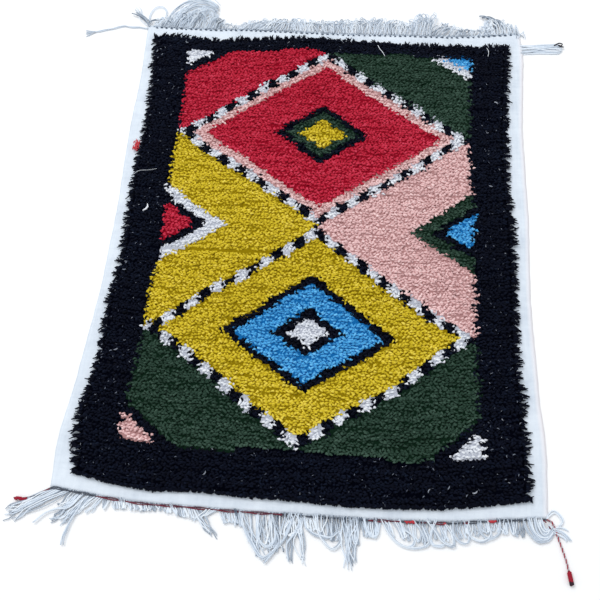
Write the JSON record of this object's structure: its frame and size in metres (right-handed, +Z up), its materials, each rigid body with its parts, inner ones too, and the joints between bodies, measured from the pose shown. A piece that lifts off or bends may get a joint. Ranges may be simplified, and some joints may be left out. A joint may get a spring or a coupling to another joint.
{
  "type": "moroccan wool rug",
  "caption": "Small hand-knotted wool pile rug lying flat, with a cotton margin, a twined near end, fringes at both ends and loose yarn ends at its corners.",
  "frame": {"origin": "middle of the rug's outline on the floor, at the underside of the cloth", "axes": "+Y from the near end to the far end, +X to the right, +Z up out of the pile"},
  "size_m": [1.2862, 1.5178, 0.0253],
  "materials": {
    "cotton_cloth": "plain-woven cotton, matt, off-white with a cool cast",
    "fringe_yarn": "plied cotton warp yarn, matt, slightly fuzzy",
    "twining_yarn": "red and grey yarns twined together, matt",
    "knot_yarn": "red yarn wrapped round a cord end, matt",
    "black_wool": "cut wool pile, matt, near black",
    "red_wool": "cut wool pile, matt, crimson",
    "yellow_wool": "cut wool pile, matt, mustard yellow",
    "green_wool": "cut wool pile, matt, dark green",
    "pink_wool": "cut wool pile, matt, pale dusty pink",
    "white_wool": "cut wool pile, matt, white",
    "blue_wool": "cut wool pile, matt, sky blue"
  },
  "bodies": {
    "root": {"ground_cloth": "cotton_cloth", "wool_pile": "black_wool", "near_twining": "twining_yarn", "near_fringe": "fringe_yarn", "far_fringe": "fringe_yarn", "left_tie": "fringe_yarn", "left_tie_brush": "fringe_yarn", "right_tie": "fringe_yarn", "corner_loops": "fringe_yarn", "corner_cord": "twining_yarn", "corner_cord_knot": "knot_yarn"}
  },
  "joints": []
}
